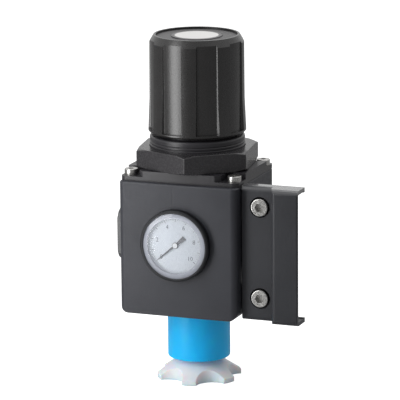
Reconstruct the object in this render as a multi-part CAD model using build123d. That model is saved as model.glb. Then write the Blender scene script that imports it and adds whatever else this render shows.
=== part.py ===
from build123d import *
import os
from math import cos, pi, radians, sin, sqrt, tan

# Compact filter regulator for compressed air, in millimetres, +Z up, front towards -Y.
# The pieces are drawn about the upright axis of the knob and moved to the front when they
# are saved, so the origin lies in the middle of the body's back face.

# Cast body
body_width = 62.0
axis_to_front = 29.3
axis_to_back = 26.0
port_to_top = 30.2
body_height = 66.9
body_corner = 3.1
body_low_corner = 4.6
body_edge = 0.9
port_level = 3.0
wall_gap = 0.1
slide_gap = 0.08
seat_gap = 0.05
cut_margin = 1.0

# Threaded port inserts, one on each side
port_across_flats = 36.0
port_head = 5.4
port_head_chamfer = 0.5
port_thread_radius = 9.4
port_spigot_radius = 14.0
port_spigot_length = 13.5
port_floor = 1.5
port_inner_radius = 7.0

# Flow passages in the body
passage_inner = 11.9
passage_width = 8.0
passage_overlap = 3.0
valve_bore_radius = 9.5
valve_bore_floor = -9.0
seat_radius = 5.5
seat_level = 12.0
seat_lip = 1.0
seat_lip_width = 1.0
web_top = 16.0
outlet_radius = 10.0
diaphragm_radius = 23.0
diaphragm_chamber_radius = 19.5
diaphragm_chamber_depth = 4.0
diaphragm_thickness = 1.0

# Bonnet with its neck and inner tower
bonnet_to_front = 26.7
bonnet_plate = 5.2
bonnet_ear = 2.2
bonnet_ear_width = 9.5
bonnet_side_half = 15.1
bonnet_front_chamfer = 2.6
neck_radius = 23.7
neck_height = 15.3
neck_edge = 1.3
neck_thread_pitch = 1.5
neck_thread_depth = 0.3
neck_thread_turns = 3
tower_radius = 19.6
tower_wall = 3.2
tower_roof = 4.0
key_width = 5.0
key_depth = 1.3
bleed_radius = 0.9

# Socket screws of the bonnet
bonnet_screw_side = 3.8
bonnet_screw_front = 5.8
bonnet_screw_rear = 5.1
bonnet_screw_radius = 2.0
bonnet_screw_head_radius = 3.4
bonnet_screw_head = 2.8
bonnet_screw_length = 13.0
bonnet_screw_hex = 2.5
hex_socket_share = 0.55
head_edge_share = 0.12

# Panel nut
nut_wall = 4.0
nut_height = 9.6
nut_turn = 9.0
nut_chamfer_width = 1.5
nut_chamfer_angle = 22.0

# Knob with its top ring and cap
knob_gap = 1.3
knob_height = 48.8
knob_low_radius = 24.35
knob_mid_radius = 23.65
knob_top_radius = 23.5
knob_flare_height = 17.0
knob_foot = 1.6
knob_foot_chamfer = 0.8
knob_shoulder_drop = 3.6
knob_rim_radius = 21.4
knob_bore_radius = 20.1
knob_roof = 4.0
knob_dish = 1.1
knob_ring_radius = 20.2
knob_ring_thickness = 1.6
knob_cap_radius = 12.6
knob_cap_recess = 0.5
knob_hub_radius = 9.0
knob_hub_gap = 0.5
grip_count = 8
grip_turn = 33.3
grip_depth = 0.6
grip_land_angle = 20.0
grip_wall_angle = 40.0

# Adjusting spindle and spring nut
spindle_radius = 4.0
spindle_pitch = 1.25
spindle_turns = 8
spindle_neck_radius = 5.0
spindle_flange_radius = 8.0
spindle_flange = 3.0
spindle_tail = 25.0
spindle_hex = 12.0
spindle_hex_length = 11.0
spindle_chamfer = 0.8
spring_nut_height = 7.0
spring_nut_rest_gap = 0.6

# Main spring
spring_wire = 3.2
spring_mean_radius = 11.8
spring_turns = 6

# Diaphragm group
plate_radius = 15.0
plate_thickness = 2.0
plate_rim = 1.6
relief_radius = 7.0
relief_thickness = 2.0
relief_stud_radius = 3.0
relief_bore_radius = 1.0
plate_nut_flats = 8.0
plate_nut_height = 2.4
relief_stud_end = 0.8

# Valve
stem_radius = 2.0
stem_tail = 5.0
stem_tip_gap = 0.1
stem_chamfer = 0.5
valve_travel = 2.0
valve_disc_radius = 8.0
valve_disc_thickness = 3.0
valve_seal_thickness = 1.6
valve_seal_inner = 2.8
valve_spring_wire = 0.8
valve_spring_radius = 4.6
valve_spring_turns = 5
guide_height = 5.0
guide_hole_radius = 1.2
guide_holes = 6
stud_end = 1.0
guide_hole_circle = 5.9
guide_stud_radius = 2.4
guide_boss_wall = 1.4
guide_collar_radius = 8.4
guide_collar = 3.0

# Filter
swirl_thickness = 2.5
swirl_slots = 12
swirl_slot_width = 1.6
swirl_slot_inner = 10.2
swirl_slot_tilt = 30.0
swirl_bore = 7.3
filter_outer = 9.0
filter_inner = 5.4
filter_length = 23.0
baffle_radius = 11.0
baffle_thickness = 1.6
baffle_drop = 2.4
baffle_nut_radius = 4.5
baffle_nut_height = 3.6
baffle_nut_chamfer = 0.6

# Bowl and drain
bowl_radius = 15.72
bowl_wall = 2.6
bowl_below = 26.55
bowl_bore_depth = 16.0
bowl_shelf_radius = 13.3
bowl_floor = 3.4
bowl_edge = 0.9
o_ring_section = 1.6
nipple_radius = 6.0
nipple_length = 7.0
drain_bore_radius = 1.7
star_radius = 21.3
star_height = 10.35
star_tip = 2.4
star_hub_radius = 9.2
star_lobes = 6
star_turn = 6.1
star_notch_radius = 8.0
star_notch_centre = 23.2
star_drain_radius = 1.0
star_drain_circle = 3.6
star_drain_holes = 3
wheel_gap = 0.5
needle_radius = 1.3
needle_tip_length = 1.6

# Pressure gauge
gauge_x = -0.5
gauge_radius = 17.9
gauge_front_radius = 17.2
gauge_stands_out = 3.7
gauge_recess = 10.0
gauge_wall = 1.0
gauge_back = 1.5
bezel_depth = 2.6
bezel_lip = 0.4
lens_face_radius = 14.1
lens_depth = 0.6
lens_thickness = 1.0
dial_radius = 16.6
dial_thickness = 0.5
dial_depth = 2.9
pointer_length = 11.8
pointer_tail = 6.2
pointer_half_hub = 0.55
pointer_half_tip = 0.2
pointer_half_tail = 1.2
pointer_thickness = 0.3
pointer_hub_radius = 1.5
pointer_hub_height = 0.7
pointer_gap = 0.35
arbor_radius = 0.55
pinion_radius = 1.2
gauge_thread_radius = 4.8
gauge_thread_length = 4.2
gauge_drill_radius = 1.2
gauge_sweep = 260.0
gauge_zero_angle = 220.0
sector_radius = 6.8
sector_thickness = 0.6
sector_half_angle = 32.0
sector_post_radius = 0.7
sector_hub_radius = 1.5
sector_clear = 0.4
movement_thickness = 1.2
bourdon_radius = 11.2
bourdon_thickness = 1.2
bourdon_end = 4.0
socket_arm = 2.2
socket_radius = 6.0
tube_inset = 0.5

# Front bracket at the right side, with its carrier and screws
bracket_side_gap = 0.6
bracket_strip_width = 15.8
bracket_step_lean = 1.8
bracket_width = 30.6
bracket_strip_face = 23.3
bracket_panel_face = 28.45
bracket_rear = 16.7
bracket_top = 34.0
bracket_bottom = -33.8
bracket_wall = 2.0
bracket_bend = 2.6
bracket_step_bend = 2.2
bracket_lip = 2.3
bracket_foot_edge = 0.4
bracket_step_fillet = 0.8
bracket_end_edge = 0.6
bracket_screw_inset = 9.6
bracket_screw_spacing = 45.9
bracket_screw_level = 0.8
bracket_cup_radius = 5.2
bracket_cup_depth = 3.2
bracket_cup_wall = 2.0
bracket_screw_radius = 2.5
bracket_screw_head_radius = 4.4
bracket_screw_head = 4.4
bracket_screw_length = 12.0
bracket_screw_hex = 4.0
carrier_width = 16.1
carrier_rear = 11.0
carrier_lug_reach = 7.8
carrier_web = 1.9
carrier_web_gap = 0.3
carrier_screw_y = 14.5
carrier_screw_offset = 4.9
carrier_screw_radius = 1.6
carrier_screw_head_radius = 2.7
carrier_screw_head = 3.2
carrier_screw_depth = 9.0
carrier_screw_hex = 2.5

# Heights that follow from the sizes above
body_top = port_level + port_to_top
body_bottom = body_top - body_height
body_depth = axis_to_front + axis_to_back
body_centre = (axis_to_back - axis_to_front) / 2
side_face = body_width / 2
plate_top = body_top + bonnet_plate
neck_top = plate_top + neck_height
knob_bottom = neck_top + knob_gap
knob_top = knob_bottom + knob_height
ring_low = knob_top - knob_dish - knob_ring_thickness
knob_ceiling = ring_low - knob_roof
tower_top = knob_ceiling - spindle_hex_length
bowl_bottom = body_bottom - bowl_below
wheel_top = bowl_bottom - wheel_gap
star_bottom = wheel_top - star_height
bracket_left = side_face + bracket_side_gap
bracket_step = bracket_left + bracket_strip_width
bracket_right = bracket_left + bracket_width
bracket_screw_x = bracket_left + bracket_screw_inset
carrier_right = side_face + carrier_width
bonnet_screw_x = side_face - bonnet_screw_side
bonnet_screw_places = [
    (x, y)
    for x in (-bonnet_screw_x, bonnet_screw_x)
    for y in (bonnet_screw_front - bonnet_to_front, axis_to_back - bonnet_screw_rear)
]


def rod(radius, low, high, x=0.0, y=0.0):
    """Upright round bar."""
    return Pos(x, y, (low + high) / 2) * Cylinder(radius, high - low)


def rod_y(radius, front, back, x, z):
    """Round bar along the depth."""
    return Pos(x, (front + back) / 2, z) * Rot(90, 0, 0) * Cylinder(radius, back - front)


def rod_x(radius, left, right, y, z):
    """Round bar along the width."""
    return Pos((left + right) / 2, y, z) * Rot(0, 90, 0) * Cylinder(radius, right - left)


def block(left, right, front, back, low, high):
    """Square-edged block between six planes."""
    centre = Pos((left + right) / 2, (front + back) / 2, (low + high) / 2)
    return centre * Box(right - left, back - front, high - low)


def turned(*points):
    """Solid turned about the upright axis from an outline of (radius, height) points."""
    return revolve(Plane.XZ * make_face(Polyline(*points, close=True)), axis=Axis.Z)


def hexagon(across_flats, low, high, turn=0.0):
    """Upright hexagonal bar with a corner on the X axis before it is turned."""
    outline = RegularPolygon(across_flats / 2, 6, major_radius=False)
    return Pos(0, 0, low) * Rot(0, 0, turn) * extrude(outline, high - low)


def ring_of(piece, count, turn=0.0):
    """Copies of a piece spaced evenly about the upright axis."""
    return [Rot(0, 0, turn + 360 * step / count) * piece for step in range(count)]


def coil(mean_radius, wire, low, high, turns):
    """Coil spring with plain ends, its wire lying between two heights."""
    climb = high - low - wire
    path = Helix(climb / turns, climb, mean_radius, center=(0, 0, low + wire / 2))
    section = Plane(origin=path @ 0, z_dir=path % 0) * Circle(wire / 2)
    return sweep(section, path=path, is_frenet=True)


def ground(spring, reach, low, high):
    """Spring with both ends ground flat to lie on its seats."""
    return spring & rod(reach, low, high)


def cap_screw(radius, head_radius, head, length, socket):
    """Socket head screw standing on its shank, with the seat of its head at height 0."""
    screw = rod(head_radius, 0, head)
    screw = fillet(screw.edges().group_by(Axis.Z)[-1], head * head_edge_share)
    screw += rod(radius, -length, 0)
    screw -= hexagon(socket, head * (1 - hex_socket_share), head)
    return screw


def save(node, *shapes):
    """Write one node, moved from the knob's axis to the frame of the back face."""
    shift = Pos(0, -axis_to_back, 0)
    moved = [shift * shape for shape in shapes]
    export_step(moved[0] if len(moved) == 1 else Compound(children=moved), f"parts/{node}.step")


os.makedirs("parts", exist_ok=True)

# Body: one casting, with the flow passages, the gauge pocket and all tapped holes
plan = Pos(0, body_centre, body_bottom) * extrude(
    RectangleRounded(body_width, body_depth, body_corner), body_height
)
front_view = Plane.XZ * make_face(
    FilletPolyline(
        (-side_face, body_top),
        (-side_face, body_bottom),
        (side_face, body_bottom),
        (side_face, body_top),
        radius=body_low_corner,
    )
    + Line((side_face, body_top), (-side_face, body_top))
)
body = plan & Pos(0, axis_to_back, 0) * extrude(front_view, body_depth)
body = fillet(body.faces().sort_by(Axis.Z)[-1].edges(), body_edge)

port_bore_end = side_face - port_spigot_length - wall_gap
for side in (-1, 1):
    outer = side * (side_face + cut_margin)
    inner = side * port_bore_end
    body -= rod_x(port_spigot_radius + wall_gap, min(outer, inner), max(outer, inner), 0, port_level)
passage_out = port_bore_end + passage_overlap
chamber_floor = body_top - diaphragm_thickness - diaphragm_chamber_depth
half_passage = passage_width / 2
passage_low = valve_bore_floor - guide_collar
body -= block(-passage_out, -passage_inner, -half_passage, half_passage, passage_low, port_level)
passage_high = chamber_floor + cut_margin
body -= block(passage_inner, passage_out, -half_passage, half_passage, port_level, passage_high)
body -= rod(diaphragm_radius + wall_gap, body_top - diaphragm_thickness, body_top)
body -= rod(diaphragm_chamber_radius, chamber_floor, body_top)
body -= rod(outlet_radius, web_top, body_top)
body -= rod(valve_bore_radius, valve_bore_floor, seat_level)
body += rod(seat_radius + seat_lip_width, seat_level - seat_lip, seat_level)
body -= rod(seat_radius, seat_level - seat_lip, web_top)
body -= rod(bowl_shelf_radius, body_bottom, valve_bore_floor)
body -= rod(bowl_radius + wall_gap, body_bottom, body_bottom + bowl_bore_depth)

gauge_back_plane = gauge_recess - axis_to_front
pocket_front = -axis_to_front - cut_margin
body -= rod_y(gauge_radius + wall_gap, pocket_front, gauge_back_plane, gauge_x, port_level)
gauge_bore_end = gauge_back_plane + gauge_thread_length + wall_gap
body -= rod_y(gauge_thread_radius + wall_gap, gauge_back_plane, gauge_bore_end, gauge_x, port_level)
drill_y = gauge_bore_end - gauge_drill_radius
body -= rod(gauge_drill_radius, port_level, chamber_floor + cut_margin, gauge_x, drill_y)

tapped_low = body_top + bonnet_ear - bonnet_screw_length - cut_margin
for x, y in bonnet_screw_places:
    body -= rod(bonnet_screw_radius + slide_gap, tapped_low, body_top, x, y)
bracket_screw_levels = [bracket_screw_level + side * bracket_screw_spacing / 2 for side in (1, -1)]
carrier_screw_levels = [
    bracket_screw_levels[0] + carrier_screw_offset,
    bracket_screw_levels[1] - carrier_screw_offset,
]
for level in carrier_screw_levels:
    body -= rod_x(
        carrier_screw_radius + slide_gap,
        side_face - carrier_screw_depth - cut_margin,
        side_face,
        -carrier_screw_y,
        level,
    )
save("body", body)

# Port inserts: hexagonal nipples screwed into the sides, threaded inside for the pipe
hex_plan = Plane.YZ * RegularPolygon(port_across_flats / 2, 6, major_radius=False, rotation=90)
port_hex = extrude(hex_plan, port_head)
hex_corner = port_across_flats / sqrt(3)
hex_trim = Pos(port_head / 2, 0, 0) * Rot(0, 90, 0) * Cylinder(hex_corner - port_head_chamfer, port_head)
hex_trim = chamfer(hex_trim.edges().group_by(Axis.X)[-1], port_head_chamfer)
port_insert = (port_hex & hex_trim) + rod_x(port_spigot_radius, -port_spigot_length, 0, 0, 0)
port_insert -= rod_x(port_thread_radius, port_floor - port_spigot_length, port_head, 0, 0)
port_insert -= rod_x(port_inner_radius, -port_spigot_length, port_floor - port_spigot_length, 0, 0)
save("outlet_port_insert", Pos(side_face, 0, port_level) * port_insert)
save("inlet_port_insert", Pos(-side_face, 0, port_level) * Rot(0, 0, 180) * port_insert)

# Bonnet: flange with corner pockets for its screws, threaded neck and inner tower
tongue_half = side_face - bonnet_ear_width
tongue = block(-tongue_half, tongue_half, -bonnet_to_front, axis_to_back, body_top, plate_top)
tongue = chamfer(tongue.edges().filter_by(Axis.Z), bonnet_front_chamfer)
bar = block(-side_face, side_face, -bonnet_side_half, bonnet_side_half, body_top, plate_top)
ears_centre = (axis_to_back - bonnet_to_front) / 2
ears_depth = axis_to_back + bonnet_to_front
ears = extrude(RectangleRounded(body_width, ears_depth, body_corner), bonnet_ear)
bonnet = tongue + bar + Pos(0, ears_centre, body_top) * ears
neck = rod(neck_radius, body_top, neck_top)
neck = fillet(neck.edges().group_by(Axis.Z)[-1], neck_edge)
bonnet += neck
bonnet += rod(tower_radius, body_top, tower_top)
chamber_radius = tower_radius - tower_wall
bonnet -= rod(chamber_radius, body_top, tower_top - tower_roof)
bonnet -= rod(spindle_neck_radius + slide_gap, body_top, tower_top)
bonnet -= rod(diaphragm_chamber_radius, body_top, body_top + diaphragm_chamber_depth)
for side in (-1, 1):
    bonnet -= block(
        min(0, side * (chamber_radius + key_depth)),
        max(0, side * (chamber_radius + key_depth)),
        -key_width / 2,
        key_width / 2,
        body_top + diaphragm_chamber_depth,
        tower_top - tower_roof,
    )
for x, y in bonnet_screw_places:
    bonnet -= rod(bonnet_screw_radius + slide_gap, body_top, body_top + bonnet_ear, x, y)
for turn in range(neck_thread_turns):
    groove_low = plate_top + nut_height + neck_thread_pitch * (turn + 0.5)
    groove = turned(
        (neck_radius + cut_margin, groove_low),
        (neck_radius, groove_low),
        (neck_radius - neck_thread_depth, groove_low + neck_thread_pitch / 4),
        (neck_radius, groove_low + neck_thread_pitch / 2),
        (neck_radius + cut_margin, groove_low + neck_thread_pitch / 2),
    )
    if groove_low + neck_thread_pitch < neck_top - neck_edge:
        bonnet -= groove
bonnet -= rod_y(bleed_radius, -body_depth, 0, 0, neck_top + 2 * bleed_radius)
save("bonnet", bonnet)

# Bonnet screws: four socket screws with low heads, standing in the corner pockets
screw = cap_screw(
    bonnet_screw_radius, bonnet_screw_head_radius, bonnet_screw_head,
    bonnet_screw_length, bonnet_screw_hex,
)
ear_top = body_top + bonnet_ear
save("bonnet_screws", *[Pos(x, y, ear_top) * screw for x, y in bonnet_screw_places])

# Panel nut: flat hexagon nut on the neck, chamfered on both faces
nut_across_flats = 2 * (neck_radius + nut_wall)
nut_chamfer_radius = neck_radius + nut_wall + nut_chamfer_width
nut_corner = nut_across_flats / sqrt(3)
nut_drop = (nut_corner - nut_chamfer_radius) * tan(radians(nut_chamfer_angle))
nut_shape = turned(
    (0, plate_top),
    (nut_chamfer_radius, plate_top),
    (nut_corner, plate_top + nut_drop),
    (nut_corner, plate_top + nut_height - nut_drop),
    (nut_chamfer_radius, plate_top + nut_height),
    (0, plate_top + nut_height),
)
panel_nut = hexagon(nut_across_flats, plate_top, plate_top + nut_height, nut_turn - 90) & nut_shape
panel_nut -= rod(neck_radius + slide_gap, plate_top, plate_top + nut_height)
save("panel_nut", panel_nut)

# Knob: moulded hood with eight grip channels that widen downwards to the ring at its foot
shoulder = knob_top - knob_shoulder_drop
flare_top = knob_bottom + knob_flare_height
knob = turned(
    (0, knob_bottom),
    (knob_low_radius - knob_foot_chamfer, knob_bottom),
    (knob_low_radius, knob_bottom + knob_foot_chamfer),
    (knob_low_radius, knob_bottom + knob_foot),
    (knob_mid_radius, flare_top),
    (knob_top_radius, shoulder),
    (knob_rim_radius, knob_top),
    (0, knob_top),
)
channel_low = knob_bottom + knob_foot
channel_floor = knob_top_radius - grip_depth
channel_half = pi / grip_count - radians(grip_land_angle) / 2
wall_slope = tan(radians(grip_wall_angle))
flute_root = channel_floor * (cos(channel_half) - sin(channel_half) / wall_slope)
flute_far = knob_low_radius + cut_margin
flute_half = (flute_far - flute_root) * wall_slope
flute = make_face(
    Polyline((0, -flute_root), (flute_half, -flute_far), (-flute_half, -flute_far), close=True)
)
flute = Pos(0, 0, channel_low) * extrude(flute, knob_top - channel_low)
flute -= rod(channel_floor, channel_low, knob_top)
knob -= ring_of(flute, grip_count, grip_turn)
knob -= rod(knob_ring_radius + wall_gap, ring_low, knob_top)
knob -= rod(knob_bore_radius, knob_bottom, knob_ceiling)
hub_bottom = tower_top + knob_hub_gap
knob += rod(knob_hub_radius, hub_bottom, knob_ceiling)
knob -= hexagon(spindle_hex + 2 * slide_gap, hub_bottom, knob_ceiling + seat_gap)
save("knob", knob)

# Knob ring and cap: a grey dished ring in the knob's top with a silver disc in its middle
knob_ring = rod(knob_ring_radius, ring_low, knob_top - knob_dish)
knob_ring -= rod(knob_cap_radius + wall_gap, ring_low, knob_top)
save("knob_ring", knob_ring)
knob_cap = rod(knob_cap_radius, ring_low, knob_top - knob_dish + knob_cap_recess)
knob_cap = fillet(knob_cap.edges().group_by(Axis.Z)[-1], knob_cap_recess / 2)
save("knob_cap", knob_cap)

# Adjusting spindle: threaded tail, thrust flange under the tower's roof, hexagon in the knob
roof_low = tower_top - tower_roof
flange_top = roof_low - seat_gap
flange_low = flange_top - spindle_flange
spindle = rod(spindle_radius, flange_low - spindle_tail, flange_low)
spindle = chamfer(spindle.edges().group_by(Axis.Z)[0], spindle_chamfer)
spindle += rod(spindle_flange_radius, flange_low, flange_top)
spindle += rod(spindle_neck_radius, flange_top, tower_top + seat_gap)
spindle += hexagon(spindle_hex, tower_top + seat_gap, knob_ceiling)
save("adjusting_spindle", spindle)

# Spring nut: keyed plate that the spindle drives down on to the main spring
nut_top = flange_low - spring_nut_rest_gap
nut_low = nut_top - spring_nut_height
spring_nut = rod(chamber_radius - 2 * slide_gap, nut_low, nut_top)
for side in (-1, 1):
    key_reach = side * (chamber_radius + key_depth - 2 * slide_gap)
    spring_nut += block(
        min(0, key_reach), max(0, key_reach),
        -key_width / 2 + slide_gap, key_width / 2 - slide_gap, nut_low, nut_top,
    )
spring_nut -= rod(spindle_radius + slide_gap, nut_low, nut_top)
save("spring_nut", spring_nut)

# Diaphragm group: rubber disc, upper plate, relief seat with its stud, and the plate's nut
diaphragm_low = body_top - diaphragm_thickness
diaphragm = rod(diaphragm_radius, diaphragm_low, body_top)
diaphragm -= rod(relief_stud_radius + wall_gap, diaphragm_low, body_top)
save("diaphragm", diaphragm)
plate_low = body_top + seat_gap
plate_seat = plate_low + plate_thickness
plate = rod(plate_radius, plate_low, plate_seat + plate_rim)
rim_inner = spring_mean_radius + spring_wire / 2 + wall_gap
plate -= rod(rim_inner, plate_seat, plate_seat + plate_rim)
plate -= rod(relief_stud_radius + wall_gap, plate_low, plate_seat)
save("diaphragm_plate", plate)
relief_top = diaphragm_low - seat_gap
relief_low = relief_top - relief_thickness
stud_top = plate_seat + plate_nut_height + relief_stud_end
relief = rod(relief_radius, relief_low, relief_top) + rod(relief_stud_radius, relief_top, stud_top)
relief -= rod(relief_bore_radius, relief_low, stud_top)
save("relief_seat", relief)
plate_nut = hexagon(plate_nut_flats, plate_seat + seat_gap, plate_seat + plate_nut_height)
plate_nut -= rod(relief_stud_radius + slide_gap, plate_seat, plate_seat + plate_nut_height)
save("plate_nut", plate_nut)

# Main spring between the plate and the spring nut, ground flat at both ends
spring_low = plate_seat + seat_gap
spring_high = nut_low - seat_gap
rise = (spring_high - spring_low) / spring_turns / 2
long_coil = coil(
    spring_mean_radius, spring_wire, spring_low - rise - spring_wire / 2,
    spring_high + rise + spring_wire / 2, spring_turns + 1,
)
main_spring = ground(long_coil, spring_mean_radius + spring_wire, spring_low, spring_high)
save("main_spring", main_spring)

# Valve: stem with its disc, rubber seal, return spring and guide
stem_top = relief_low - stem_tip_gap
seal_top = seat_level - seat_lip - seat_gap
seal_low = seal_top - valve_seal_thickness
disc_low = seal_low - valve_disc_thickness
guide_top = valve_bore_floor + guide_height
stem_low = valve_bore_floor - stem_tail + valve_travel
valve_stem = rod(stem_radius, stem_low, stem_top)
valve_stem = chamfer(valve_stem.edges().group_by(Axis.Z)[-1], stem_chamfer)
save("valve_stem", valve_stem)
valve_disc = rod(valve_disc_radius, disc_low, seal_low)
valve_disc -= rod(stem_radius + slide_gap, disc_low, seal_low)
save("valve_disc", valve_disc)
valve_seal = rod(valve_disc_radius, seal_low, seal_top) - rod(valve_seal_inner, seal_low, seal_top)
save("valve_seal", valve_seal)
valve_spring = coil(
    valve_spring_radius, valve_spring_wire, guide_top + seat_gap, disc_low - seat_gap, valve_spring_turns
)
save("valve_spring", valve_spring)
collar_low = valve_bore_floor - guide_collar
swirl_top = collar_low - seat_gap
swirl_low = swirl_top - swirl_thickness
filter_top = swirl_low - seat_gap
filter_low = filter_top - filter_length
baffle_top = filter_low - seat_gap
baffle_low = baffle_top - baffle_thickness
baffle_nut_top = baffle_low - seat_gap
baffle_nut_low = baffle_nut_top - baffle_nut_height
guide = rod(valve_bore_radius - slide_gap, valve_bore_floor, guide_top)
guide += rod(guide_collar_radius, collar_low, valve_bore_floor)
guide += rod(guide_stud_radius, baffle_nut_low - stud_end, valve_bore_floor)
stem_bore_low = stem_low - valve_travel - stud_end
guide += rod(guide_stud_radius + guide_boss_wall, stem_bore_low - stud_end, valve_bore_floor)
guide -= rod(stem_radius + slide_gap, stem_bore_low, guide_top)
flow_hole = rod(guide_hole_radius, collar_low, guide_top, guide_hole_circle, 0)
guide -= ring_of(flow_hole, guide_holes)
save("valve_guide", guide)

# Filter: swirl plate, sintered element, baffle and the nut that holds them on the guide's stud
swirl_plate = rod(bowl_shelf_radius - wall_gap, swirl_low, swirl_top)
swirl_plate -= rod(swirl_bore, swirl_low, swirl_top)
slot_outer = bowl_shelf_radius - stud_end
slot = block(
    swirl_slot_inner, slot_outer, -swirl_slot_width / 2, swirl_slot_width / 2,
    -swirl_thickness, swirl_thickness,
)
slot = Pos(0, 0, (swirl_low + swirl_top) / 2) * Rot(swirl_slot_tilt, 0, 0) * slot
swirl_plate -= ring_of(slot, swirl_slots)
save("swirl_plate", swirl_plate)
filter_element = rod(filter_outer, filter_low, filter_top) - rod(filter_inner, filter_low, filter_top)
save("filter_element", filter_element)
baffle_bore = guide_stud_radius + slide_gap
baffle = turned(
    (baffle_bore, baffle_top),
    (filter_outer, baffle_top),
    (baffle_radius, baffle_top - baffle_drop),
    (baffle_radius, baffle_low - baffle_drop),
    (filter_outer, baffle_low),
    (baffle_bore, baffle_low),
)
save("baffle", baffle)
baffle_nut = rod(baffle_nut_radius, baffle_nut_low, baffle_nut_top)
baffle_nut = chamfer(baffle_nut.edges().group_by(Axis.Z)[0], baffle_nut_chamfer)
baffle_nut -= rod(baffle_bore, baffle_nut_low, baffle_nut_top)
save("baffle_nut", baffle_nut)

# Bowl: blue cup screwed into the body, with its seal ring and the drain nipple below
bowl_top = body_bottom + bowl_bore_depth - o_ring_section
bowl = rod(bowl_radius, bowl_bottom, bowl_top)
bowl = fillet(bowl.edges().group_by(Axis.Z)[0], bowl_edge)
bowl -= rod(bowl_radius - bowl_wall, bowl_bottom + bowl_floor, bowl_top)
bowl += rod(nipple_radius, bowl_bottom - nipple_length, bowl_bottom + bowl_floor)
bowl -= rod(drain_bore_radius, bowl_bottom - nipple_length, bowl_bottom + bowl_floor)
save("bowl", bowl)
bowl_seal_radius = (bowl_radius + bowl_shelf_radius) / 2
seal_height = bowl_top + o_ring_section / 2
bowl_seal = Pos(0, 0, seal_height) * Torus(bowl_seal_radius, o_ring_section / 2 - seat_gap / 2)
save("bowl_seal", bowl_seal)

# Drain: star wheel on the nipple's thread, carrying a needle into the drain bore
star = turned(
    (0, star_bottom),
    (star_radius, star_bottom),
    (star_radius, star_bottom + star_tip),
    (star_hub_radius, wheel_top),
    (0, wheel_top),
)
notch = rod(star_notch_radius, star_bottom, wheel_top, 0, -star_notch_centre)
star -= ring_of(notch, star_lobes, star_turn + 180 / star_lobes)
star -= rod(nipple_radius + slide_gap, star_bottom + star_tip, wheel_top)
needle_low = star_bottom + star_tip / 2
star -= rod(needle_radius + slide_gap, needle_low, star_bottom + star_tip)
drain_hole = rod(star_drain_radius, star_bottom, star_bottom + star_tip, star_drain_circle)
star -= ring_of(drain_hole, star_drain_holes, star_turn)
save("drain_wheel", star)
needle_top = bowl_bottom + bowl_floor - seat_gap
needle = turned(
    (0, needle_low),
    (needle_radius, needle_low),
    (needle_radius, needle_top - needle_tip_length),
    (0, needle_top),
)
save("drain_needle", needle)

# Gauge: black cup with a bezel, clear lens, pale dial, pointer on its arbor, and the works
gauge_front = -axis_to_front - gauge_stands_out
gauge_back_wall = gauge_back_plane - gauge_back
case_front = gauge_front + bezel_depth
case_inner = gauge_radius - gauge_wall


def gauge_rod(radius, front, back):
    """Round bar on the gauge's own axis."""
    return rod_y(radius, front, back, gauge_x, port_level)


case = gauge_rod(gauge_radius, case_front, gauge_back_plane)
case -= gauge_rod(case_inner, case_front, gauge_back_wall)
case -= gauge_rod(gauge_thread_radius + wall_gap, gauge_back_wall, gauge_back_plane)
save("gauge_case", case)
bezel_ring = gauge_rod(gauge_radius, gauge_front, case_front)
bezel_ring = chamfer(bezel_ring.edges().group_by(Axis.Y)[0], gauge_radius - gauge_front_radius)
lens_front = gauge_front + lens_depth
lens_back = lens_front + lens_thickness
bezel_opening = case_inner - bezel_lip
bezel_ring -= gauge_rod(bezel_opening, gauge_front, case_front)
bezel_ring -= gauge_rod(case_inner, lens_front, case_front)
save("gauge_bezel", bezel_ring)
lens_rim = lens_back - lens_front - seat_gap
lens = turned(
    (0, 0),
    (case_inner - slide_gap, 0),
    (case_inner - slide_gap, lens_rim),
    (bezel_opening - slide_gap, lens_rim),
    (lens_face_radius, lens_back - gauge_front),
    (0, lens_back - gauge_front),
)
save("gauge_lens", Pos(gauge_x, lens_back, port_level) * Rot(90, 0, 0) * lens)
dial_face = gauge_front + dial_depth
dial = gauge_rod(dial_radius, dial_face, dial_face + dial_thickness)
dial -= gauge_rod(arbor_radius + slide_gap, dial_face, dial_face + dial_thickness)
save("gauge_dial", dial)
ledge_back = dial_face + dial_thickness + seat_gap

# Movement plate: brass plate behind the dial that carries it, the arbor and the sector's post
plate_front = ledge_back
plate_back = plate_front + movement_thickness
movement = gauge_rod(case_inner - slide_gap, plate_front, plate_back)
movement -= gauge_rod(arbor_radius + slide_gap, plate_front, plate_back)
sector_y = plate_back + sector_clear
sector_z = port_level - sector_radius - pinion_radius - slide_gap
works_back = sector_y + sector_thickness + sector_clear
post = rod_y(sector_post_radius, plate_back, works_back, gauge_x, sector_z)
save("movement_plate", movement + post)
hub_back = dial_face - pointer_gap
pointer = gauge_rod(pointer_hub_radius, hub_back - pointer_hub_height, hub_back)
pointer_outline = make_face(
    Polyline(
        (-pointer_tail, -pointer_half_tail),
        (0, -pointer_half_hub),
        (pointer_length, -pointer_half_tip),
        (pointer_length, pointer_half_tip),
        (0, pointer_half_hub),
        (-pointer_tail, pointer_half_tail),
        close=True,
    )
)
needle_sheet = extrude(Plane.XZ * Rot(0, 0, gauge_zero_angle) * pointer_outline, pointer_thickness)
pointer += Pos(gauge_x, hub_back, port_level) * needle_sheet
pointer += gauge_rod(arbor_radius, hub_back, works_back)
pointer += gauge_rod(pinion_radius, sector_y, sector_y + sector_thickness)
save("gauge_pointer", pointer)
sector_turn = gauge_sweep * pinion_radius / sector_radius / 2
blade_far = sector_radius + cut_margin
blade_half = blade_far * tan(radians(sector_half_angle))
blade = Circle(sector_radius) & make_face(
    Polyline((0, 0), (-blade_half, blade_far), (blade_half, blade_far), close=True)
)
sector_outline = blade + Circle(sector_hub_radius) - Circle(sector_post_radius + slide_gap)
sector = extrude(Plane.XZ * Rot(0, 0, -sector_turn) * sector_outline, -sector_thickness)
save("gauge_sector", Pos(gauge_x, sector_y, sector_z) * sector)

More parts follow.
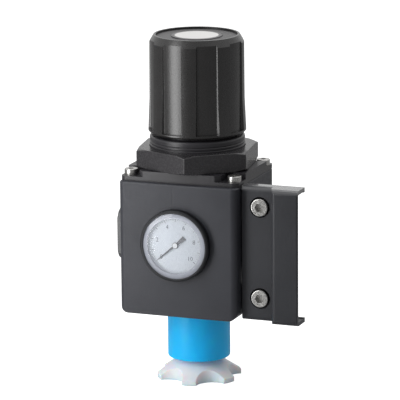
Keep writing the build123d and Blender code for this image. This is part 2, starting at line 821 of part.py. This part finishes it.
# Gauge socket: brass block with the threaded stem behind and the bourdon tube in front
socket_front = works_back + sector_clear
socket = gauge_rod(gauge_thread_radius, gauge_back_wall, gauge_back_plane + gauge_thread_length)
socket += gauge_rod(socket_radius, socket_front, gauge_back_wall)
arm_low = port_level - bourdon_radius - bourdon_thickness
socket += block(
    gauge_x - socket_arm, gauge_x + socket_arm, socket_front, gauge_back_wall, arm_low, port_level
)
save("gauge_socket", socket)
tube_front = socket_front + tube_inset
tube_back = gauge_back_wall - tube_inset
bourdon = gauge_rod(bourdon_radius + bourdon_thickness / 2, tube_front, tube_back)
bourdon -= gauge_rod(bourdon_radius - bourdon_thickness / 2, tube_front, tube_back)
bourdon -= block(
    gauge_x - gauge_radius, gauge_x + socket_arm + seat_gap, tube_front, tube_back,
    port_level - gauge_radius, port_level - bourdon_end,
)
save("bourdon_tube", bourdon)

# Bracket: die-cast channel in front of the right side, with a recessed screw strip
step_plan = make_face(
    FilletPolyline(
        (bracket_left, -bracket_rear),
        (bracket_left, -bracket_strip_face),
        (bracket_step, -bracket_strip_face),
        (bracket_step + bracket_step_lean, -bracket_panel_face),
        (bracket_right, -bracket_panel_face),
        (bracket_right, -bracket_rear),
        radius=[bracket_foot_edge, bracket_step_fillet, bracket_step_bend, bracket_end_edge],
    )
    + Line((bracket_right, -bracket_rear), (bracket_left, -bracket_rear))
)


def channel_block(front, rear, low, high, bend):
    """Long bar with the channel's rounded top and bottom, cut to the bracket's length."""
    profile = Plane.YZ * make_face(
        FilletPolyline(
            (-rear, low), (-front, low), (-front, high), (-rear, high), radius=bend
        )
        + Line((-rear, high), (-rear, low))
    )
    return extrude(profile, bracket_right + cut_margin)


step_plane = bracket_step + bracket_step_lean + bracket_wall
full_height = bracket_top - bracket_bottom
outer_strip = channel_block(bracket_strip_face, bracket_rear, bracket_bottom, bracket_top, bracket_bend)
outer_panel = channel_block(bracket_panel_face, bracket_rear, bracket_bottom, bracket_top, bracket_bend)
outer_strip &= block(0, step_plane, -body_depth, 0, bracket_bottom, bracket_top)
outer_panel &= block(bracket_step, bracket_right, -body_depth, 0, bracket_bottom, bracket_top)
plan_bar = Pos(0, 0, bracket_bottom) * extrude(step_plan, full_height)
bracket = (outer_strip + outer_panel) & plan_bar
inner_bend = bracket_bend - bracket_wall
inner_low = bracket_bottom + bracket_wall
inner_high = bracket_top - bracket_wall
lip_front = bracket_rear + bracket_wall
inner_strip = channel_block(bracket_strip_face - bracket_wall, lip_front, inner_low, inner_high, inner_bend)
inner_panel = channel_block(bracket_panel_face - bracket_wall, lip_front, inner_low, inner_high, inner_bend)
cut_left = bracket_left - cut_margin
cut_right = bracket_right + cut_margin
bracket -= inner_strip & block(cut_left, cut_right, -body_depth, 0, bracket_bottom, bracket_top)
bracket -= inner_panel & block(step_plane, cut_right, -body_depth, 0, bracket_bottom, bracket_top)
bracket -= block(
    cut_left, cut_right, -lip_front, 0, bracket_bottom + bracket_lip, bracket_top - bracket_lip
)
cup_back = bracket_strip_face - bracket_cup_depth - bracket_cup_wall
for level in bracket_screw_levels:
    bracket += rod_y(
        bracket_cup_radius + bracket_cup_wall, -bracket_strip_face + bracket_wall / 2, -cup_back,
        bracket_screw_x, level,
    )
for level in bracket_screw_levels:
    bracket -= rod_y(
        bracket_cup_radius, -bracket_strip_face, -bracket_strip_face + bracket_cup_depth,
        bracket_screw_x, level,
    )
    bracket -= rod_y(
        bracket_screw_radius + slide_gap, -bracket_strip_face, -cup_back, bracket_screw_x, level
    )
save("bracket", bracket)

# Carrier: block screwed to the body's side, to which the bracket is bolted
carrier_front = -cup_back
high_screw, low_screw = bracket_screw_levels
lug_high = block(
    side_face, carrier_right, carrier_front, -carrier_rear,
    high_screw - bracket_cup_radius, high_screw + carrier_lug_reach,
)
lug_low = block(
    side_face, carrier_right, carrier_front, -carrier_rear,
    low_screw - carrier_lug_reach, low_screw + bracket_cup_radius,
)
web_left = side_face + port_head + carrier_web_gap
web_rear = carrier_front + carrier_web
web = block(web_left, carrier_right, carrier_front, web_rear, low_screw, high_screw)
carrier = lug_high + lug_low + web
for level in bracket_screw_levels:
    carrier -= rod_y(bracket_screw_radius + slide_gap, carrier_front, -carrier_rear, bracket_screw_x, level)
for level in carrier_screw_levels:
    carrier -= rod_x(carrier_screw_radius + slide_gap, side_face, carrier_right, -carrier_screw_y, level)
    carrier -= rod_x(
        carrier_screw_head_radius + slide_gap, carrier_right - carrier_screw_head - wall_gap,
        carrier_right, -carrier_screw_y, level,
    )
save("bracket_carrier", carrier)

# Screws of the bracket and of its carrier
front_screw = cap_screw(
    bracket_screw_radius, bracket_screw_head_radius, bracket_screw_head,
    bracket_screw_length, bracket_screw_hex,
)
screw_seat = -bracket_strip_face + bracket_cup_depth
save(
    "bracket_screws",
    *[Pos(bracket_screw_x, screw_seat, level) * Rot(90, 0, 0) * front_screw
      for level in bracket_screw_levels],
)
long_screw = cap_screw(
    carrier_screw_radius, carrier_screw_head_radius, carrier_screw_head,
    carrier_right - carrier_screw_head - side_face + carrier_screw_depth, carrier_screw_hex,
)
carrier_seat = carrier_right - carrier_screw_head - wall_gap
save(
    "carrier_screws",
    *[Pos(carrier_seat, -carrier_screw_y, level) * Rot(0, 90, 0) * long_screw
      for level in carrier_screw_levels],
)
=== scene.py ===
from math import cos, pi, radians, sin

import bmesh
import bpy
from mathutils import Matrix, Vector


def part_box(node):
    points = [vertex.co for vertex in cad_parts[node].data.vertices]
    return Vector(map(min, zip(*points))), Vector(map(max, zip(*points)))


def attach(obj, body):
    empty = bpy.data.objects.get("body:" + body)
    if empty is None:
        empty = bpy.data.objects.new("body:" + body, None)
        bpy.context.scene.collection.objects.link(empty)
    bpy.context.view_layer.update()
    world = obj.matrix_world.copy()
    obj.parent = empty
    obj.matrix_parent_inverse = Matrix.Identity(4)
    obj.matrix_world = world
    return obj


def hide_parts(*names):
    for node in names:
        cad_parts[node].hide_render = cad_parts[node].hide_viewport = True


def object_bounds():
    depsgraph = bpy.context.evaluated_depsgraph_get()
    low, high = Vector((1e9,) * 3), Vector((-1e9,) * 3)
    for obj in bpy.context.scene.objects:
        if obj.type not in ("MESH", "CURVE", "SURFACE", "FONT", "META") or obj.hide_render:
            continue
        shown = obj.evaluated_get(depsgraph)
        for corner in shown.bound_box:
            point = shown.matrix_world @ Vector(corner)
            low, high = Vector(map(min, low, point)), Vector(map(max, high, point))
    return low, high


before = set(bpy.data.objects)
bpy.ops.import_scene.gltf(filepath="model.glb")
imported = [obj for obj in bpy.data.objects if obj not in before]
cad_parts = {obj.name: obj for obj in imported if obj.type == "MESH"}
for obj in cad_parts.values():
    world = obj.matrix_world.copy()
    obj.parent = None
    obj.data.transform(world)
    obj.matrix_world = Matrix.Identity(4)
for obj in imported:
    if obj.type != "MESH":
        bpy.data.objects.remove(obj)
cad_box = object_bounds()
MM = 0.001
axis_y = -26.0 * MM

# Body: one aluminium die casting under dark grey powder paint. The paint is satin, with a fine
# orange peel, and a casting seam runs down the front above the gauge.


class Shade:
    """One shader socket that takes part in Python sums, each of which adds its Math node."""

    def __init__(self, tree, socket):
        self.tree = tree
        self.socket = socket

    def node(self, kind, settings=None, inputs=None, output=0):
        """Any other node, with its settings made first and then its sockets' values or links."""
        made = self.tree.nodes.new("ShaderNode" + kind)
        for name, value in (settings or {}).items():
            if name == "stops":
                for stop, (place, colour) in zip(made.color_ramp.elements, value):
                    stop.position = place
                    stop.color = colour
            else:
                setattr(made, name, value)
        for key, value in (inputs or {}).items():
            if isinstance(value, Shade):
                self.tree.links.new(value.socket, made.inputs[key])
            else:
                made.inputs[key].default_value = value
        return Shade(self.tree, made.outputs[output])

    def maths(self, operation, first, second=0.0):
        return self.node("Math", {"operation": operation}, {0: first, 1: second})

    def __add__(self, other):
        return self.maths("ADD", self, other)

    __radd__ = __add__

    def __sub__(self, other):
        return self.maths("SUBTRACT", self, other)

    def __rsub__(self, other):
        return self.maths("SUBTRACT", other, self)

    def __mul__(self, other):
        return self.maths("MULTIPLY", self, other)

    __rmul__ = __mul__

    def span(self, low, high, to_low=0.0, to_high=1.0):
        """This value mapped from one range to another and kept inside it."""
        return self.node("MapRange", None, {0: self, 1: low, 2: high, 3: to_low, 4: to_high})

    def blend(self, low, high):
        """Colour between two others, by this value."""
        return self.node("Mix", {"data_type": "RGBA"}, {0: self, 6: low, 7: high}, 2)

    def noise(self, scale, detail=3.0, roughness=0.5):
        """Noise at this place, in cells a metre."""
        sockets = {"Vector": self, "Scale": scale, "Detail": detail, "Roughness": roughness}
        return self.node("TexNoise", None, sockets)

    def part(self, letter):
        """One coordinate of this place, in metres."""
        return self.node("SeparateXYZ", None, {0: self}, "XYZ".index(letter))


def tone(red, green, blue):
    """Linear colour from the three eight-bit values that it shows as."""
    shown = [level / 255 for level in (red, green, blue)]
    return [level / 12.92 if level < 0.04045 else ((level + 0.055) / 1.055) ** 2.4 for level in shown] + [1.0]


class Finish:
    """A material for one finish, with its shader and the place on the piece to draw with."""

    def __init__(self, name, **sockets):
        self.material = bpy.data.materials.new(name)
        self.material.use_nodes = True
        self.tree = self.material.node_tree
        self.shader = self.tree.nodes["Principled BSDF"]
        self.place = Shade(self.tree, None).node("TexCoord", output=3)
        self.give(**sockets)

    def give(self, **sockets):
        """Values or links for the shader's sockets, named with underscores for spaces."""
        for name, value in sockets.items():
            socket = self.shader.inputs[name.replace("_", " ")]
            if isinstance(value, Shade):
                self.tree.links.new(value.socket, socket)
            else:
                socket.default_value = value
        return self

    def relief(self, height, distance):
        """A bump of the given height field, whose full height is the distance in metres."""
        bump = self.place.node("Bump", None, {"Height": height, "Distance": distance, "Strength": 1.0})
        return self.give(Normal=bump)

    def on(self, *nodes):
        """Put this finish on CAD nodes."""
        for node in nodes:
            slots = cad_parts[node].material_slots
            for slot in slots:
                slot.material = self.material


def weighed(mesh, smooth_within):
    """Corner normals led by the largest faces, so broad flats stay flat beside rounded edges."""
    around = [[] for vertex in mesh.vertices]
    for face in mesh.polygons:
        for vertex in face.vertices:
            around[vertex].append((face.normal.copy(), face.area))
    normals = []
    for face in mesh.polygons:
        for vertex in face.vertices:
            total = Vector()
            for normal, area in around[vertex]:
                if normal.dot(face.normal) > smooth_within:
                    total += normal * area
            normals.append(total.normalized())
    mesh.normals_split_custom_set(normals)


def softened(node, body, finish, width, sharp=radians(28)):
    """Copy of a CAD piece with merged triangles and rounded edges, standing for that piece."""
    copy = bpy.data.objects.new(node + "_finished", bpy.data.meshes.new(node + "_finished"))
    bpy.context.scene.collection.objects.link(copy)
    shape = bmesh.new()
    shape.from_mesh(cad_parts[node].data)
    bmesh.ops.remove_doubles(shape, verts=shape.verts, dist=2e-6)
    bmesh.ops.dissolve_limit(shape, angle_limit=radians(0.5), verts=shape.verts, edges=shape.edges)
    edges = [edge for edge in shape.edges if edge.is_manifold and edge.calc_face_angle(0) > sharp]
    bmesh.ops.bevel(
        shape, geom=edges, offset=width, offset_type="OFFSET", affect="EDGES", segments=2,
        profile=0.5, material=-1, clamp_overlap=True,
    )
    for face in shape.faces:
        face.smooth = True
    shape.to_mesh(copy.data)
    shape.free()
    weighed(copy.data, cos(radians(50)))
    copy.data.materials.append(finish.material)
    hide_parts(node)
    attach(copy, body)
    return copy


casting = Finish("body_paint", Specular_IOR_Level=0.25)
orange_peel = casting.place.noise(700.0, 2.0)
grit = casting.place.noise(2600.0, 3.0, 0.6)
patches = casting.place.noise(45.0, 2.0)
seam_x = casting.place.part("X") * 1000.0 + 2.3
seam_line = seam_x.maths("ABSOLUTE", seam_x).span(0.0, 0.3, 1.0, 0.0)
above_gauge = casting.place.part("Z").span(21.0 * MM, 21.3 * MM)
seam = seam_line * above_gauge * casting.place.part("Y").span(-55.2 * MM, -55.0 * MM, 1.0, 0.0)
paint = patches.span(0.3, 0.7).blend(tone(40, 41, 46), tone(46, 47, 52))
casting.give(
    Base_Color=(seam * 0.6).blend(paint, tone(36, 36, 39)),
    Roughness=orange_peel.span(0.3, 0.7, 0.42, 0.52),
)
casting.relief(orange_peel * 0.6 + grit * 0.4 - seam * 0.8, 0.05 * MM)
casting.on("body")

# Port inserts: hexagonal nipples turned from grey aluminium, screwed in at both sides.
port = Finish("port_aluminium", Metallic=0.0)
port_grain = port.place.noise(900.0, 2.0)
port.give(
    Base_Color=port_grain.span(0.3, 0.7).blend(tone(52, 53, 55), tone(60, 61, 63)),
    Roughness=port_grain.span(0.3, 0.7, 0.4, 0.5),
)
port.relief(port_grain, 0.03 * MM)
port.on("inlet_port_insert", "outlet_port_insert")

# Bonnet: moulded in black glass-filled nylon, with a flange, a threaded neck and a tower.
bonnet_nylon = Finish("bonnet_nylon", Specular_IOR_Level=0.3)
nylon_mould = bonnet_nylon.place.noise(1100.0, 3.0, 0.6)
nylon_patches = bonnet_nylon.place.noise(60.0, 2.0)
bonnet_nylon.give(
    Base_Color=nylon_patches.span(0.3, 0.7).blend(tone(32, 31, 34), tone(39, 38, 41)),
    Roughness=nylon_mould.span(0.3, 0.7, 0.3, 0.42),
)
bonnet_nylon.relief(nylon_mould, 0.015 * MM)
bonnet_nylon.on("bonnet")
softened("bonnet", "regulator", bonnet_nylon, 0.3 * MM)

# Screws: zinc-plated socket screws, four in the bonnet, two in the bracket, two in the carrier.
plating = Finish("zinc_plating", Metallic=1.0)
plate_spots = plating.place.noise(1500.0, 3.0)
plating.give(
    Base_Color=plate_spots.span(0.3, 0.7).blend(tone(150, 149, 146), tone(184, 183, 181)),
    Roughness=plate_spots.span(0.3, 0.7, 0.22, 0.38),
)
plating.relief(plate_spots, 0.005 * MM)
plating.on("bonnet_screws", "bracket_screws", "carrier_screws")

# Panel nut: a flat hexagon nut in black nylon, which clamps the unit in a panel.
nut_nylon = Finish("nut_nylon", Specular_IOR_Level=0.35)
nut_mould = nut_nylon.place.noise(1000.0, 3.0, 0.6)
nut_nylon.give(
    Base_Color=nut_mould.span(0.3, 0.7).blend(tone(38, 37, 39), tone(44, 43, 45)),
    Roughness=nut_mould.span(0.3, 0.7, 0.22, 0.32),
)
nut_nylon.relief(nut_mould, 0.01 * MM)
nut_nylon.on("panel_nut")
softened("panel_nut", "regulator", nut_nylon, 0.35 * MM)

# Spring, spindle and spring nut: hardened steel, brass and aluminium inside the tower.
spring_steel = Finish("spring_steel", Metallic=1.0)
drawn = spring_steel.place.noise(800.0, 2.0)
spring_steel.give(
    Base_Color=drawn.span(0.3, 0.7).blend(tone(120, 118, 114), tone(150, 148, 144)),
    Roughness=drawn.span(0.3, 0.7, 0.28, 0.4),
)
spring_steel.on("main_spring", "valve_spring")
turned_steel = Finish("turned_steel", Metallic=1.0)
turning = turned_steel.place.noise(1200.0, 2.0)
turned_steel.give(
    Base_Color=turning.span(0.3, 0.7).blend(tone(150, 149, 146), tone(185, 184, 181)),
    Roughness=turning.span(0.3, 0.7, 0.25, 0.38),
)
turned_steel.on("adjusting_spindle", "drain_needle")
brass = Finish("turned_brass", Metallic=1.0)
brass_tarnish = brass.place.noise(400.0, 3.0)
brass.give(
    Base_Color=brass_tarnish.span(0.3, 0.7).blend(tone(190, 155, 92), tone(214, 182, 118)),
    Roughness=brass_tarnish.span(0.3, 0.7, 0.25, 0.4),
)
brass.on(
    "spring_nut", "relief_seat", "plate_nut", "valve_stem", "valve_disc",
    "movement_plate", "gauge_sector", "gauge_socket", "bourdon_tube",
)

# Diaphragm, seals and the aluminium plate that the spring stands on.
rubber = Finish("black_rubber")
bloom = rubber.place.noise(900.0, 3.0)
rubber.give(
    Base_Color=bloom.span(0.3, 0.7).blend(tone(30, 30, 31), tone(40, 40, 41)),
    Roughness=bloom.span(0.3, 0.7, 0.6, 0.75),
)
rubber.on("diaphragm", "valve_seal", "bowl_seal")
plain_aluminium = Finish("plain_aluminium", Metallic=1.0)
milled = plain_aluminium.place.noise(1300.0, 2.0)
plain_aluminium.give(
    Base_Color=milled.span(0.3, 0.7).blend(tone(168, 170, 172), tone(196, 198, 200)),
    Roughness=milled.span(0.3, 0.7, 0.3, 0.42),
)
plain_aluminium.on("diaphragm_plate", "bracket_carrier")

# Filter: a white sintered element under a pale swirl plate, with its baffle, guide and nut.
pale_plastic = Finish("pale_acetal")
pale_mould = pale_plastic.place.noise(500.0, 2.0)
pale_plastic.give(
    Base_Color=pale_mould.span(0.3, 0.7).blend(tone(205, 204, 198), tone(218, 217, 212)),
    Roughness=pale_mould.span(0.3, 0.7, 0.4, 0.5),
)
pale_plastic.on("valve_guide", "swirl_plate", "baffle", "baffle_nut")
sinter = Finish("sintered_polyethylene")
beads = sinter.place.node("TexVoronoi", None, {"Vector": sinter.place, "Scale": 3500.0})
# The colour darkens from each bead's middle to its edge, where the bump dips: painted shade in the hollows
# between the beads.
sinter.give(
    Base_Color=beads.span(0.0, 0.6).blend(tone(238, 238, 234), tone(214, 214, 208)),
    Roughness=beads.span(0.0, 0.6, 0.7, 0.85),
)
sinter.relief(beads, -0.06 * MM)
sinter.on("filter_element")

# Knob: a deep hood moulded in glossy black acetal, with eight flat grip channels.
knob_gloss = Finish("knob_gloss", Specular_IOR_Level=0.55)
knob_flow = knob_gloss.place.noise(120.0, 2.0)
knob_haze = knob_gloss.place.noise(1800.0, 2.0)
knob_gloss.give(
    Base_Color=knob_flow.span(0.3, 0.7).blend(tone(20, 19, 19), tone(25, 24, 24)),
    Roughness=knob_haze.span(0.3, 0.7, 0.26, 0.32),
)
knob_gloss.relief(knob_haze, 0.002 * MM)
knob_gloss.on("knob")
softened("knob", "knob", knob_gloss, 0.25 * MM)

# Knob ring and cap: a dark grey dished ring with a satin silver disc pressed into its middle.
ring_plastic = Finish("ring_plastic")
ring_mould = ring_plastic.place.noise(1000.0, 2.0)
ring_plastic.give(
    Base_Color=ring_mould.span(0.3, 0.7).blend(tone(70, 69, 70), tone(80, 79, 80)),
    Roughness=ring_mould.span(0.3, 0.7, 0.5, 0.6),
)
ring_plastic.on("knob_ring")
cap_silver = Finish("cap_silver", Metallic=1.0)
cap_grain = cap_silver.place.noise(1600.0, 2.0)
cap_x = cap_silver.place.part("X")
cap_y = cap_silver.place.part("Y") - axis_y
# Past the disc's rim the colour turns dark grey all round: painted shade of the groove between the disc and
# the ring.
cap_groove_shade = (cap_x * cap_x + cap_y * cap_y).span((10.7 * MM) ** 2, (11.1 * MM) ** 2)
cap_face = cap_grain.span(0.3, 0.7).blend(tone(206, 205, 204), tone(220, 219, 218))
cap_silver.give(
    Base_Color=cap_groove_shade.blend(cap_face, tone(96, 95, 97)),
    Roughness=cap_grain.span(0.3, 0.7, 0.35, 0.45),
)
cap_silver.on("knob_cap")

# Bowl: a short cup in blue plastic, satin, screwed up into the body.
bowl_blue = Finish(
    "bowl_blue", Subsurface_Weight=0.6, Subsurface_Scale=0.02, Specular_IOR_Level=0.3
)
bowl_mould = bowl_blue.place.noise(700.0, 3.0)
bowl_flow = bowl_blue.place.noise(60.0, 2.0)
bowl_blue.give(
    Base_Color=bowl_flow.span(0.3, 0.7).blend(tone(0, 170, 228), tone(2, 176, 234)),
    Roughness=bowl_mould.span(0.3, 0.7, 0.34, 0.44),
)
bowl_blue.relief(bowl_mould, 0.02 * MM)
bowl_blue.on("bowl")

# Drain wheel: a six-lobed star in milky plastic, turned by hand to let the water out.
milky = Finish("milky_plastic", Subsurface_Weight=0.6, Subsurface_Scale=0.012)
milky_flow = milky.place.noise(90.0, 2.0)
milky.give(
    Base_Color=milky_flow.span(0.3, 0.7).blend(tone(212, 213, 217), tone(220, 221, 225)),
    Roughness=milky_flow.span(0.3, 0.7, 0.38, 0.46),
)
milky.on("drain_wheel")
softened("drain_wheel", "wheel", milky, 0.3 * MM)

# Gauge: a black cup pressed into the front of the body, with a bezel, a clear lens and a pale
# dial. Its scale runs clockwise over 260 degrees, with plain numbers.
gauge_black = Finish("gauge_black", Specular_IOR_Level=0.25)
black_mould = gauge_black.place.noise(1000.0, 2.0)
gauge_black.give(
    Base_Color=black_mould.span(0.3, 0.7).blend(tone(20, 21, 24), tone(26, 27, 30)),
    Roughness=black_mould.span(0.3, 0.7, 0.4, 0.5),
)
gauge_black.on("gauge_case", "gauge_bezel")
dial_paint = Finish("dial_paint")
dial_grain = dial_paint.place.noise(900.0, 2.0)
dial_paint.give(
    Base_Color=dial_grain.span(0.3, 0.7).blend(tone(204, 209, 216), tone(212, 217, 223)),
    Roughness=dial_grain.span(0.3, 0.7, 0.45, 0.55),
)
dial_paint.on("gauge_dial")
pointer_metal = Finish("pointer_metal")
pointer_grain = pointer_metal.place.noise(900.0, 2.0)
hub_x = pointer_metal.place.part("X") + 0.5 * MM
hub_z = pointer_metal.place.part("Z") - 3.0 * MM
hub_square = hub_x * hub_x + hub_z * hub_z
hub = hub_square.span((1.2 * MM) ** 2, (1.4 * MM) ** 2, 1.0, 0.0)
lacquer = pointer_grain.span(0.3, 0.7).blend(tone(74, 74, 78), tone(86, 86, 90))
pointer_metal.give(
    Base_Color=hub.blend(lacquer, tone(228, 230, 232)),
    Roughness=pointer_grain.span(0.3, 0.7, 0.35, 0.45),
)
pointer_metal.on("gauge_pointer")
window = Finish("lens_window", Roughness=0.08)
lens_x = window.place.part("X") + 0.5 * MM
lens_z = window.place.part("Z") - 3.0 * MM
from_centre = (lens_x * lens_x + lens_z * lens_z).maths("SQRT", lens_x * lens_x + lens_z * lens_z)
bevel = from_centre.span(13.9 * MM, 14.2 * MM)
rim_light = window.place.node("Fresnel", None, {"IOR": 1.45})
window.give(
    Base_Color=bevel.blend(tone(225, 230, 236), tone(170, 173, 183)),
    Alpha=rim_light * 0.8 + bevel * 0.45 + 0.04,
)
window.on("gauge_lens")

scale_ink = Finish("scale_ink")
ink_grain = scale_ink.place.noise(1500.0, 2.0)
scale_ink.give(
    Base_Color=ink_grain.span(0.3, 0.7).blend(tone(88, 92, 98), tone(108, 112, 118)),
    Roughness=0.6,
)
gauge_centre = Vector((-0.5 * MM, 0.0, 3.0 * MM))
dial_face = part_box("gauge_dial")[0][1]
print_height = dial_face - 0.03 * MM
zero_angle = 220.0
full_sweep = 260.0
scale_shape = bmesh.new()


def scale_place(radius, angle):
    """A point on the dial's face, at a radius and an angle from the right."""
    return gauge_centre + Vector((cos(radians(angle)) * radius, print_height, sin(radians(angle)) * radius))


def tick(angle, inner, outer, width):
    """One straight line of the scale."""
    middle = scale_place((inner + outer) / 2, angle)
    along = Vector((cos(radians(angle)), 0.0, sin(radians(angle))))
    across = Vector((-along.z, 0.0, along.x)) * (width / 2)
    along *= (outer - inner) / 2
    ends = [middle - along - across, middle + along - across, middle + along + across, middle - along + across]
    scale_shape.faces.new([scale_shape.verts.new(end) for end in ends])


for step in range(51):
    angle = zero_angle - full_sweep * step / 50
    if step % 5:
        tick(angle, 12.6 * MM, 13.3 * MM, 0.12 * MM)
    else:
        tick(angle, 11.9 * MM, 13.3 * MM, 0.26 * MM)
scale_mesh = bpy.data.meshes.new("dial_scale")
scale_shape.to_mesh(scale_mesh)
scale_shape.free()
dial_scale = bpy.data.objects.new("dial_scale", scale_mesh)
bpy.context.scene.collection.objects.link(dial_scale)
scale_mesh.materials.append(scale_ink.material)
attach(dial_scale, "regulator")

for number in range(0, 11, 2):
    letters = bpy.data.curves.new("number", "FONT")
    letters.body = str(number)
    letters.size = 3.0 * MM
    letters.align_x = "CENTER"
    letters.align_y = "CENTER"
    drawn_text = bpy.data.objects.new("number", letters)
    bpy.context.scene.collection.objects.link(drawn_text)
    bpy.context.view_layer.update()
    number_mesh = bpy.data.meshes.new_from_object(drawn_text)
    bpy.data.objects.remove(drawn_text)
    stand = Matrix.Translation(scale_place(9.9 * MM, zero_angle - full_sweep * number / 10))
    number_mesh.transform(stand @ Matrix.Rotation(radians(90), 4, "X"))
    number_mesh.materials.clear()
    number_mesh.materials.append(scale_ink.material)
    dial_number = bpy.data.objects.new(f"dial_number_{number}", number_mesh)
    bpy.context.scene.collection.objects.link(dial_number)
    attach(dial_number, "regulator")

# Bracket: a channel die cast in aluminium and painted dark grey, for hanging the unit on a wall.
bracket_paint = Finish("bracket_paint", Coat_Roughness=0.08, Coat_IOR=1.65, Specular_IOR_Level=0.3)
bracket_peel = bracket_paint.place.noise(750.0, 2.0)
bracket_patches = bracket_paint.place.noise(50.0, 2.0)
bracket_paint.give(
    Base_Color=bracket_patches.span(0.3, 0.7).blend(tone(36, 37, 41), tone(42, 43, 47)),
    Roughness=bracket_peel.span(0.3, 0.7, 0.4, 0.5),
    Coat_Weight=bracket_paint.place.part("Z").span(31.6 * MM, 33.0 * MM),
)
bracket_paint.relief(bracket_peel, 0.04 * MM)
bracket_paint.on("bracket")
softened("bracket", "regulator", bracket_paint, 0.3 * MM)

# Floor and light: a plain white floor, one tall soft box at the front left and one overhead.
floor_level = cad_box[0][2]
floor = bpy.data.objects.new("floor", bpy.data.meshes.new("floor"))
bpy.context.scene.collection.objects.link(floor)
floor_shape = bmesh.new()
bmesh.ops.create_grid(floor_shape, x_segments=1, y_segments=1, size=6.0)
bmesh.ops.translate(floor_shape, verts=floor_shape.verts, vec=(0.0, 0.0, floor_level - 0.05 * MM))
floor_shape.to_mesh(floor.data)
floor_shape.free()
floor_white = Finish("floor_white", Base_Color=(0.62, 0.62, 0.62, 1.0), Roughness=0.9)
seen = floor_white.place.node("LightPath")
floor_white.give(Emission_Color=seen.blend((0.0, 0.0, 0.0, 1.0), (1.0, 1.0, 1.0, 1.0)), Emission_Strength=0.85)
floor.data.materials.append(floor_white.material)

world = bpy.data.worlds.new("studio")
bpy.context.scene.world = world
world.use_nodes = True
sky_tree = world.node_tree
sky = sky_tree.nodes["Background"]
direction = Shade(sky_tree, None).node("TexCoord", output=0)
front_share = direction.node(
    "VectorMath", {"operation": "DOT_PRODUCT"}, {0: direction, 1: (0.375, -0.927, 0.0)}, 1
)
mirror_level = front_share.span(0.5, 1.0, 1.0, 0.06)
camera_ray = direction.node("LightPath", output=0)
glossy_ray = direction.node("LightPath", output="Is Glossy Ray")
clear_ray = direction.node("LightPath", output="Is Transmission Ray")
ambient = 0.45
plain = camera_ray.maths("MAXIMUM", camera_ray, clear_ray)
level = plain.maths("MAXIMUM", plain, glossy_ray * mirror_level)
level = level.maths("MAXIMUM", level, ambient)
sky.inputs["Color"].default_value = (1.0, 1.0, 1.0, 1.0)
sky_tree.links.new(level.socket, sky.inputs["Strength"])


def softbox(name, azimuth, elevation, distance, width, height, power, aim):
    """Area lamp at an azimuth and elevation from the object, facing the point it lights."""
    lamp = bpy.data.lights.new(name, "AREA")
    lamp.shape = "RECTANGLE"
    lamp.size = width
    lamp.size_y = height
    lamp.energy = power
    stand = bpy.data.objects.new(name, lamp)
    bpy.context.scene.collection.objects.link(stand)
    turn, rise = radians(azimuth), radians(elevation)
    towards = Vector((sin(turn) * cos(rise), -cos(turn) * cos(rise), sin(rise)))
    stand.location = Vector(aim) + towards * distance
    stand.rotation_euler = towards.to_track_quat("Z", "Y").to_euler()


knob_middle = (0.0, axis_y, 0.03)
softbox("key_softbox", -32.0, 12.0, 0.17, 0.07, 0.28, 0.44, knob_middle)
softbox("top_softbox", 150.0, 70.0, 0.7, 0.6, 0.6, 2.2, knob_middle)

# Camera at the photograph's angle: right of the front, a little above, with a long lens.
camera_turn = radians(20.92)
camera_rise = radians(12.73)
camera_roll = radians(-0.47)
camera_distance = 1.65
pixels_per_metre = 2000.0
frame_pixels = 400.0
sight = Vector((0.0, axis_y, 0.015))
sight_pixel = (198.05, 208.79)
right = Vector((cos(camera_turn), sin(camera_turn), 0.0))
back = Vector((
    sin(camera_turn) * cos(camera_rise), -cos(camera_turn) * cos(camera_rise), sin(camera_rise)
))
up = back.cross(right)
rolled_right = right * cos(camera_roll) + up * sin(camera_roll)
rolled_up = up * cos(camera_roll) - right * sin(camera_roll)
offset = rolled_right * ((frame_pixels / 2 - sight_pixel[0]) / pixels_per_metre)
offset += rolled_up * ((sight_pixel[1] - frame_pixels / 2) / pixels_per_metre)
lens = bpy.data.cameras.new("photo_camera")
lens.sensor_fit = "HORIZONTAL"
lens.sensor_width = 36.0
lens.lens = lens.sensor_width * pixels_per_metre * camera_distance / frame_pixels
camera = bpy.data.objects.new("photo_camera", lens)
bpy.context.scene.collection.objects.link(camera)
stance = Matrix((rolled_right, rolled_up, back)).transposed().to_4x4()
stance.translation = sight + offset + back * camera_distance
camera.matrix_world = stance
bpy.context.scene.camera = camera
bpy.context.scene.view_settings.view_transform = "Standard"
